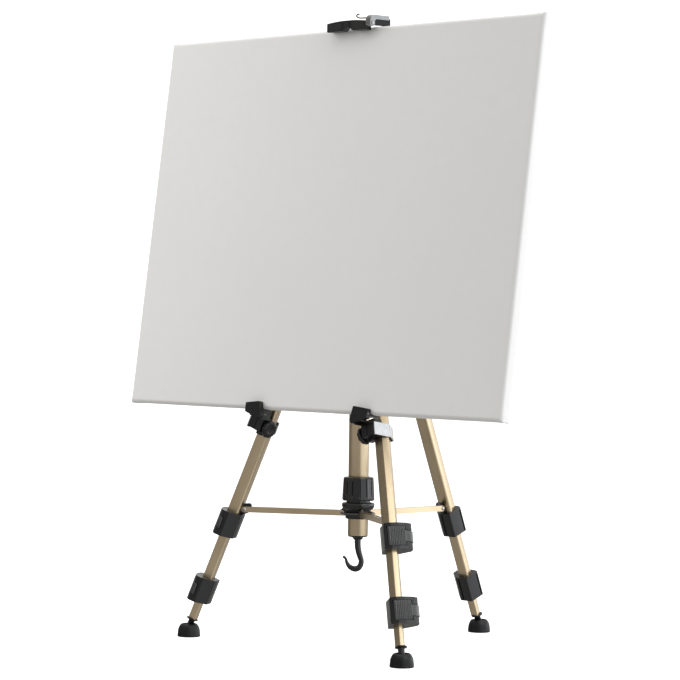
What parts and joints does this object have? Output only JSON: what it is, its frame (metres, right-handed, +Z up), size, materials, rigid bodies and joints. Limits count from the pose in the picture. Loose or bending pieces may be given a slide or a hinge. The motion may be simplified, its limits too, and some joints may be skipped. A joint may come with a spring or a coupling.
{
  "type": "tripod easel",
  "caption": "Folding aluminium tripod easel with telescopic legs, spreader struts, sliding supports and a spring clamp holding a white canvas board.",
  "frame": {"origin": "floor level, at the middle of the bounding box", "axes": "+Z up, -Y the side the board faces, +X to the right of a viewer facing the board"},
  "size_m": [0.7, 0.382, 0.8243],
  "materials": {
    "champagne": "champagne anodised, satin",
    "black_plastic": "semi-gloss moulded",
    "rubber": "matt",
    "steel": "bright plated",
    "canvas": "white primed canvas over wooden bars"
  },
  "bodies": {
    "column": {"column_tube": "champagne", "column_end_plug": "black_plastic", "spider": "black_plastic", "leg_bolt_left": "steel", "leg_bolt_right": "steel", "leg_bolt_rear": "steel", "mast_lock_collar": "black_plastic"},
    "hook": {"weight_hook": "black_plastic"},
    "mast": {"mast_tube": "champagne", "clamp_head": "black_plastic", "clamp_bracket": "steel", "clamp_spring": "steel", "canvas_board": "canvas"},
    "mast_knob": {"mast_lock_knob": "black_plastic"},
    "jaw": {"clamp_jaw": "black_plastic"},
    "hub": {"spreader_hub": "black_plastic", "hub_ring": "steel"},
    "nut": {"clamp_nut": "black_plastic"},
    "strut_left": {"strut_left": "champagne"},
    "leg_left": {"leg_knuckle_left": "black_plastic", "upper_tube_left": "champagne", "upper_lock_body_left": "black_plastic", "strut_pin_left": "steel"},
    "upper_lever_left": {"upper_lock_lever_left": "black_plastic"},
    "middle_left": {"mid_tube_left": "champagne", "lower_lock_body_left": "black_plastic"},
    "lower_lever_left": {"lower_lock_lever_left": "black_plastic"},
    "lower_left": {"lower_tube_left": "champagne", "foot_stud_left": "black_plastic"},
    "foot_left": {"foot_left": "rubber"},
    "strut_right": {"strut_right": "champagne"},
    "leg_right": {"leg_knuckle_right": "black_plastic", "upper_tube_right": "champagne", "upper_lock_body_right": "black_plastic", "strut_pin_right": "steel"},
    "upper_lever_right": {"upper_lock_lever_right": "black_plastic"},
    "middle_right": {"mid_tube_right": "champagne", "lower_lock_body_right": "black_plastic"},
    "lower_lever_right": {"lower_lock_lever_right": "black_plastic"},
    "lower_right": {"lower_tube_right": "champagne", "foot_stud_right": "black_plastic"},
    "foot_right": {"foot_right": "rubber"},
    "strut_rear": {"strut_rear": "champagne"},
    "leg_rear": {"leg_knuckle_rear": "black_plastic", "upper_tube_rear": "champagne", "upper_lock_body_rear": "black_plastic", "strut_pin_rear": "steel"},
    "upper_lever_rear": {"upper_lock_lever_rear": "black_plastic"},
    "middle_rear": {"mid_tube_rear": "champagne", "lower_lock_body_rear": "black_plastic"},
    "lower_lever_rear": {"lower_lock_lever_rear": "black_plastic"},
    "lower_rear": {"lower_tube_rear": "champagne", "foot_stud_rear": "black_plastic"},
    "foot_rear": {"foot_rear": "rubber"},
    "support_left": {"support_body_left": "black_plastic", "support_strap_left": "steel"},
    "support_knob_left": {"support_knob_left": "black_plastic"},
    "support_right": {"support_body_right": "black_plastic", "support_strap_right": "steel"},
    "support_knob_right": {"support_knob_right": "black_plastic"}
  },
  "joints": [
    {"name": "hook_swivel", "type": "hinge", "parent": "column", "child": "hook", "pos_m": [0.012, -0.05719, 0.14], "axis": [0, 0, 1], "continuous": true},
    {"name": "mast_slide", "type": "slide", "parent": "column", "child": "mast", "axis": [0, 0, 1], "range_m": [0, 0.15]},
    {"name": "mast_knob_turn", "type": "hinge", "parent": "column", "child": "mast_knob", "pos_m": [0.012, -0.02719, 0.561], "axis": [0, 1, 0], "continuous": true},
    {"name": "jaw_open", "type": "hinge", "parent": "mast", "child": "jaw", "pos_m": [0.012, -0.08769, 0.8095], "axis": [-1, 0, 0], "range_deg": [0, 60], "stiffness_Nm_per_rad": 0.15, "springref_deg": -17.19},
    {"name": "hub_slide", "type": "slide", "parent": "column", "child": "hub", "axis": [0, 0, 1], "range_m": [0, 0.11558]},
    {"name": "nut_turn", "type": "hinge", "parent": "hub", "child": "nut", "pos_m": [0.012, -0.05719, 0.205], "axis": [0, 0, 1], "continuous": true},
    {"name": "strut_left_pivot", "type": "hinge", "parent": "hub", "child": "strut_left", "pos_m": [-0.00662, -0.06794, 0.1724], "axis": [0.5, -0.866, 0], "range_deg": [0, 85.6]},
    {"name": "leg_left_pivot", "type": "hinge", "parent": "strut_left", "child": "leg_left", "pos_m": [-0.1231, -0.13519, 0.1724], "axis": [0.5, -0.866, 0], "range_deg": [-64.2, 0]},
    {"name": "upper_lever_left_flip", "type": "hinge", "parent": "leg_left", "child": "upper_lever_left", "pos_m": [-0.15422, -0.14554, 0.15825], "axis": [-0.316, -0.1824, -0.9311], "range_deg": [0, 90]},
    {"name": "middle_left_slide", "type": "slide", "parent": "leg_left", "child": "middle_left", "axis": [-0.316, -0.1824, -0.9311], "range_m": [-0.055, 0.22]},
    {"name": "lower_lever_left_flip", "type": "hinge", "parent": "middle_left", "child": "lower_lever_left", "pos_m": [-0.18443, -0.16298, 0.06925], "axis": [-0.316, -0.1824, -0.9311], "range_deg": [0, 90]},
    {"name": "lower_left_slide", "type": "slide", "parent": "middle_left", "child": "lower_left", "axis": [-0.316, -0.1824, -0.9311], "range_m": [-0.012, 0.24]},
    {"name": "foot_left_tilt", "type": "hinge", "parent": "lower_left", "child": "foot_left", "pos_m": [-0.18968, -0.17363, 0.012], "axis": [0.5, -0.866, 0], "range_deg": [-22, 10]},
    {"name": "strut_right_pivot", "type": "hinge", "parent": "hub", "child": "strut_right", "pos_m": [0.03062, -0.06794, 0.1724], "axis": [0.5, 0.866, 0], "range_deg": [0, 85.6]},
    {"name": "leg_right_pivot", "type": "hinge", "parent": "strut_right", "child": "leg_right", "pos_m": [0.1471, -0.13519, 0.1724], "axis": [0.5, 0.866, 0], "range_deg": [-64.2, 0]},
    {"name": "upper_lever_right_flip", "type": "hinge", "parent": "leg_right", "child": "upper_lever_right", "pos_m": [0.17162, -0.15697, 0.15825], "axis": [0.316, -0.1824, -0.9311], "range_deg": [0, 90]},
    {"name": "middle_right_slide", "type": "slide", "parent": "leg_right", "child": "middle_right", "axis": [0.316, -0.1824, -0.9311], "range_m": [-0.055, 0.22]},
    {"name": "lower_lever_right_flip", "type": "hinge", "parent": "middle_right", "child": "lower_lever_right", "pos_m": [0.20183, -0.17441, 0.06925], "axis": [0.316, -0.1824, -0.9311], "range_deg": [0, 90]},
    {"name": "lower_right_slide", "type": "slide", "parent": "middle_right", "child": "lower_right", "axis": [0.316, -0.1824, -0.9311], "range_m": [-0.012, 0.24]},
    {"name": "foot_right_tilt", "type": "hinge", "parent": "lower_right", "child": "foot_right", "pos_m": [0.21368, -0.17363, 0.012], "axis": [0.5, 0.866, 0], "range_deg": [-22, 10]},
    {"name": "strut_rear_pivot", "type": "hinge", "parent": "hub", "child": "strut_rear", "pos_m": [0.012, -0.03569, 0.1724], "axis": [-1, 0, 0], "range_deg": [0, 85.6]},
    {"name": "leg_rear_pivot", "type": "hinge", "parent": "strut_rear", "child": "leg_rear", "pos_m": [0.012, 0.09881, 0.1724], "axis": [-1, 0, 0], "range_deg": [-64.2, 0]},
    {"name": "upper_lever_rear_flip", "type": "hinge", "parent": "leg_rear", "child": "upper_lever_rear", "pos_m": [0.0186, 0.13093, 0.15825], "axis": [0, 0.3649, -0.9311], "range_deg": [0, 90]},
    {"name": "middle_rear_slide", "type": "slide", "parent": "leg_rear", "child": "middle_rear", "axis": [0, 0.3649, -0.9311], "range_m": [-0.055, 0.22]},
    {"name": "lower_lever_rear_flip", "type": "hinge", "parent": "middle_rear", "child": "lower_lever_rear", "pos_m": [0.0186, 0.16582, 0.06925], "axis": [0, 0.3649, -0.9311], "range_deg": [0, 90]},
    {"name": "lower_rear_slide", "type": "slide", "parent": "middle_rear", "child": "lower_rear", "axis": [0, 0.3649, -0.9311], "range_m": [-0.012, 0.24]},
    {"name": "foot_rear_tilt", "type": "hinge", "parent": "lower_rear", "child": "foot_rear", "pos_m": [0.012, 0.17569, 0.012], "axis": [-1, 0, 0], "range_deg": [-22, 10]},
    {"name": "support_left_slide", "type": "slide", "parent": "leg_left", "child": "support_left", "axis": [-0.316, -0.1824, -0.9311], "range_m": [0, 0.08]},
    {"name": "support_knob_left_turn", "type": "hinge", "parent": "support_left", "child": "support_knob_left", "pos_m": [-0.07823, -0.13464, 0.28001], "axis": [0.9469, 0, -0.3214], "continuous": true},
    {"name": "support_right_slide", "type": "slide", "parent": "leg_right", "child": "support_right", "axis": [0.316, -0.1824, -0.9311], "range_m": [0, 0.08]},
    {"name": "support_knob_right_turn", "type": "hinge", "parent": "support_right", "child": "support_knob_right", "pos_m": [0.10223, -0.13464, 0.28001], "axis": [0.9469, 0, 0.3214], "continuous": true}
  ],
  "couplings": [
    {"joint": "strut_left_pivot", "follows": "hub_slide", "rad_per_m": 12.917},
    {"joint": "leg_left_pivot", "follows": "hub_slide", "rad_per_m": -9.6856},
    {"joint": "strut_right_pivot", "follows": "hub_slide", "rad_per_m": 12.917},
    {"joint": "leg_right_pivot", "follows": "hub_slide", "rad_per_m": -9.6856},
    {"joint": "strut_rear_pivot", "follows": "hub_slide", "rad_per_m": 12.917},
    {"joint": "leg_rear_pivot", "follows": "hub_slide", "rad_per_m": -9.6856}
  ]
}
